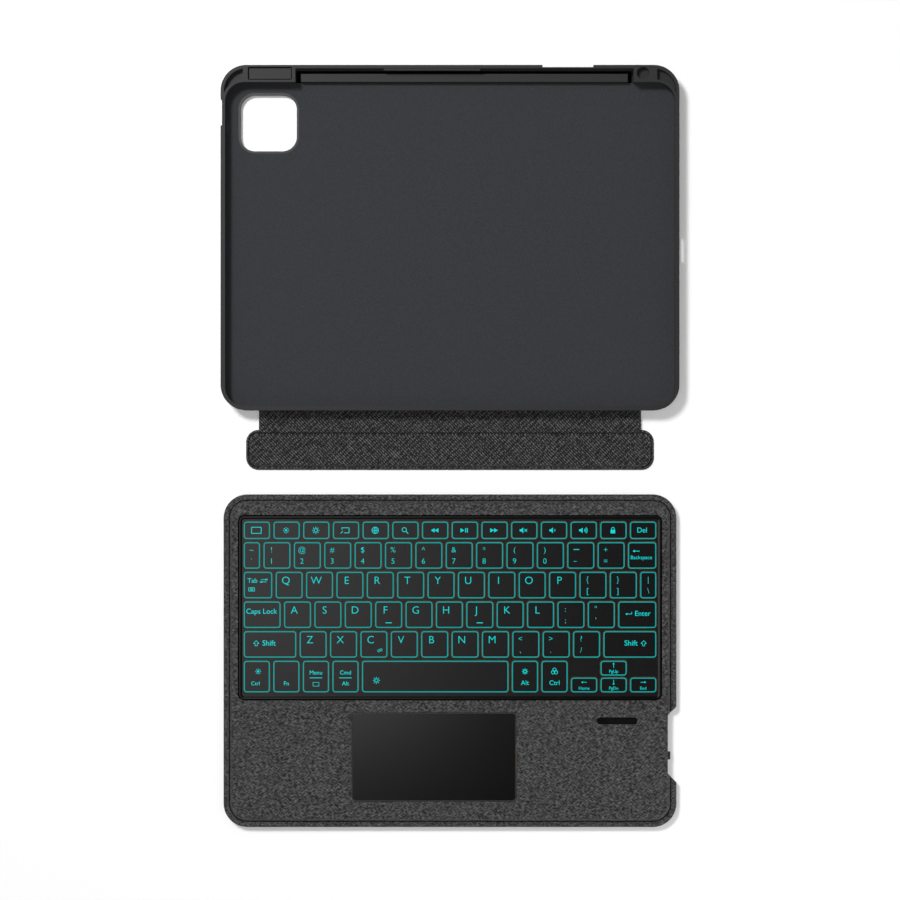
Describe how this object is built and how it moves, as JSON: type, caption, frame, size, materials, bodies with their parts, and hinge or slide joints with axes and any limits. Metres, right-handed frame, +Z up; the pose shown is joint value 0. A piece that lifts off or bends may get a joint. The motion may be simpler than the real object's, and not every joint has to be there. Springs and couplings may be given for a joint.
{
  "type": "tablet keyboard case",
  "caption": "Grey fabric tablet keyboard case: bumper shell with stand and stylus channel, docking bar on a fabric hinge, slim backlit keyboard with touchpad.",
  "frame": {"origin": "on the desk, under the middle of the whole laid-out set", "axes": "+X to the typist's right, +Y from the keyboard towards the shell, +Z up out of the desk"},
  "size_m": [0.2516, 0.4188, 0.0086],
  "materials": {
    "fabric": "grey marl woven polyester over board",
    "pu_back": "dark grey grained polyurethane",
    "soft_bumper": "matte moulded thermoplastic polyurethane",
    "hard_plastic": "fine-textured moulded polycarbonate",
    "microfibre": "brushed microfibre",
    "stand_metal": "thin aluminium sheet",
    "steel": "stamped steel",
    "magnet": "nickel plated magnet",
    "bar_board": "glass fibre board",
    "gloss_bezel": "gloss black plastic",
    "key_cap": "semi-gloss black caps with lit edges and legends",
    "grip_rubber": "black silicone",
    "clear_guide": "clear acrylic light guide",
    "film": "polyimide film",
    "led": "small surface mount LED",
    "circuit": "solder masked circuit board",
    "cell_wrap": "foil wrapped lithium cell",
    "smoked_window": "smoked clear plastic",
    "pad_glass": "satin black touch surface"
  },
  "bodies": {
    "keyboard_base": {"bottom_cover": "hard_plastic", "grip_strips": "grip_rubber", "cover_screws": "steel", "deck_fabric": "fabric", "deck_frame": "fabric", "key_bezel": "gloss_bezel", "rubber_domes": "grip_rubber", "scissor_clips": "hard_plastic", "light_guide": "clear_guide", "support_plate": "steel", "membrane_sheet": "film", "backlight_leds": "led", "touchpad_bracket": "hard_plastic", "touchpad_switch": "hard_plastic", "main_board": "circuit", "battery_cell": "cell_wrap", "usb_port": "steel", "switch_body": "hard_plastic", "indicator_window": "smoked_window", "indicator_leds": "led", "dock_magnets": "magnet", "keyboard_ribbon": "film", "touchpad_ribbon": "film"},
    "dock_bar": {"bar_top_skin": "fabric", "bar_bottom_skin": "fabric", "bar_core": "bar_board", "bar_magnets": "magnet"},
    "fabric_hinge": {"hinge_strip": "fabric"},
    "tablet_shell": {"bumper_frame": "soft_bumper", "back_plate": "hard_plastic", "tray_lining": "microfibre", "camera_ring": "hard_plastic", "upper_back_cover": "pu_back", "lower_back_band": "pu_back", "stylus_rail": "soft_bumper", "stand_brackets": "steel"},
    "kickstand": {"kickstand_panel": "stand_metal", "kickstand_skin": "pu_back", "kickstand_pin": "steel"},
    "touchpad": {"touchpad_glass": "pad_glass", "touchpad_board": "circuit"},
    "power_switch": {"power_knob": "hard_plastic"},
    "function_keys": {"function_keys": "key_cap"},
    "number_keys": {"number_keys": "key_cap"},
    "backspace_key": {"backspace_key": "key_cap"},
    "tab_key": {"tab_key": "key_cap"},
    "top_letter_keys": {"top_letter_keys": "key_cap"},
    "caps_key": {"caps_key": "key_cap"},
    "home_letter_keys": {"home_letter_keys": "key_cap"},
    "enter_key": {"enter_key": "key_cap"},
    "left_shift_key": {"left_shift_key": "key_cap"},
    "bottom_letter_keys": {"bottom_letter_keys": "key_cap"},
    "right_shift_key": {"right_shift_key": "key_cap"},
    "left_modifier_keys": {"left_modifier_keys": "key_cap"},
    "space_bar": {"space_bar": "key_cap"},
    "right_modifier_keys": {"right_modifier_keys": "key_cap"},
    "arrow_keys": {"arrow_keys": "key_cap"}
  },
  "joints": [
    {"name": "dock_slide", "type": "slide", "parent": "keyboard_base", "child": "dock_bar", "axis": [0, -1, 0], "range_m": [0, 0.03116]},
    {"name": "bar_crease", "type": "hinge", "parent": "dock_bar", "child": "fabric_hinge", "pos_m": [0, 0.00596, 0.0006], "axis": [1, 0, 0], "range_deg": [0, 90]},
    {"name": "shell_crease", "type": "hinge", "parent": "fabric_hinge", "child": "tablet_shell", "pos_m": [0, 0.01926, 0.0006], "axis": [1, 0, 0], "range_deg": [0, 90]},
    {"name": "stand_hinge", "type": "hinge", "parent": "tablet_shell", "child": "kickstand", "pos_m": [0, 0.1128, 0.0006], "axis": [1, 0, 0], "range_deg": [0, 75]},
    {"name": "touchpad_click", "type": "hinge", "parent": "keyboard_base", "child": "touchpad", "pos_m": [-0.0088, -0.1477, 0.0036], "axis": [1, 0, 0], "range_deg": [0, 0.5], "stiffness_Nm_per_rad": 3, "springref_deg": -0.23},
    {"name": "power_slide", "type": "slide", "parent": "keyboard_base", "child": "power_switch", "axis": [0, -1, 0], "range_m": [0, 0.0025]},
    {"name": "function_keys_press", "type": "slide", "parent": "keyboard_base", "child": "function_keys", "axis": [0, 0, -1], "range_m": [0, 0.0012], "stiffness_N_per_m": 5600, "springref_m": -0.0006, "deforming": ["rubber_domes", "scissor_clips"]},
    {"name": "number_keys_press", "type": "slide", "parent": "keyboard_base", "child": "number_keys", "axis": [0, 0, -1], "range_m": [0, 0.0012], "stiffness_N_per_m": 5200, "springref_m": -0.0006, "deforming": ["rubber_domes", "scissor_clips"]},
    {"name": "backspace_key_press", "type": "slide", "parent": "keyboard_base", "child": "backspace_key", "axis": [0, 0, -1], "range_m": [0, 0.0012], "stiffness_N_per_m": 400, "springref_m": -0.0006, "deforming": ["rubber_domes", "scissor_clips"]},
    {"name": "tab_key_press", "type": "slide", "parent": "keyboard_base", "child": "tab_key", "axis": [0, 0, -1], "range_m": [0, 0.0012], "stiffness_N_per_m": 400, "springref_m": -0.0006, "deforming": ["rubber_domes", "scissor_clips"]},
    {"name": "top_letter_keys_press", "type": "slide", "parent": "keyboard_base", "child": "top_letter_keys", "axis": [0, 0, -1], "range_m": [0, 0.0012], "stiffness_N_per_m": 5200, "springref_m": -0.0006, "deforming": ["rubber_domes", "scissor_clips"]},
    {"name": "caps_key_press", "type": "slide", "parent": "keyboard_base", "child": "caps_key", "axis": [0, 0, -1], "range_m": [0, 0.0012], "stiffness_N_per_m": 400, "springref_m": -0.0006, "deforming": ["rubber_domes", "scissor_clips"]},
    {"name": "home_letter_keys_press", "type": "slide", "parent": "keyboard_base", "child": "home_letter_keys", "axis": [0, 0, -1], "range_m": [0, 0.0012], "stiffness_N_per_m": 4400, "springref_m": -0.0006, "deforming": ["rubber_domes", "scissor_clips"]},
    {"name": "enter_key_press", "type": "slide", "parent": "keyboard_base", "child": "enter_key", "axis": [0, 0, -1], "range_m": [0, 0.0012], "stiffness_N_per_m": 400, "springref_m": -0.0006, "deforming": ["rubber_domes", "scissor_clips"]},
    {"name": "left_shift_key_press", "type": "slide", "parent": "keyboard_base", "child": "left_shift_key", "axis": [0, 0, -1], "range_m": [0, 0.0012], "stiffness_N_per_m": 400, "springref_m": -0.0006, "deforming": ["rubber_domes", "scissor_clips"]},
    {"name": "bottom_letter_keys_press", "type": "slide", "parent": "keyboard_base", "child": "bottom_letter_keys", "axis": [0, 0, -1], "range_m": [0, 0.0012], "stiffness_N_per_m": 4000, "springref_m": -0.0006, "deforming": ["rubber_domes", "scissor_clips"]},
    {"name": "right_shift_key_press", "type": "slide", "parent": "keyboard_base", "child": "right_shift_key", "axis": [0, 0, -1], "range_m": [0, 0.0012], "stiffness_N_per_m": 400, "springref_m": -0.0006, "deforming": ["rubber_domes", "scissor_clips"]},
    {"name": "left_modifier_keys_press", "type": "slide", "parent": "keyboard_base", "child": "left_modifier_keys", "axis": [0, 0, -1], "range_m": [0, 0.0012], "stiffness_N_per_m": 1600, "springref_m": -0.0006, "deforming": ["rubber_domes", "scissor_clips"]},
    {"name": "space_bar_press", "type": "slide", "parent": "keyboard_base", "child": "space_bar", "axis": [0, 0, -1], "range_m": [0, 0.0012], "stiffness_N_per_m": 400, "springref_m": -0.0006, "deforming": ["rubber_domes", "scissor_clips"]},
    {"name": "right_modifier_keys_press", "type": "slide", "parent": "keyboard_base", "child": "right_modifier_keys", "axis": [0, 0, -1], "range_m": [0, 0.0012], "stiffness_N_per_m": 800, "springref_m": -0.0006, "deforming": ["rubber_domes", "scissor_clips"]},
    {"name": "arrow_keys_press", "type": "slide", "parent": "keyboard_base", "child": "arrow_keys", "axis": [0, 0, -1], "range_m": [0, 0.0012], "stiffness_N_per_m": 1600, "springref_m": -0.0006, "deforming": ["rubber_domes", "scissor_clips"]}
  ]
}
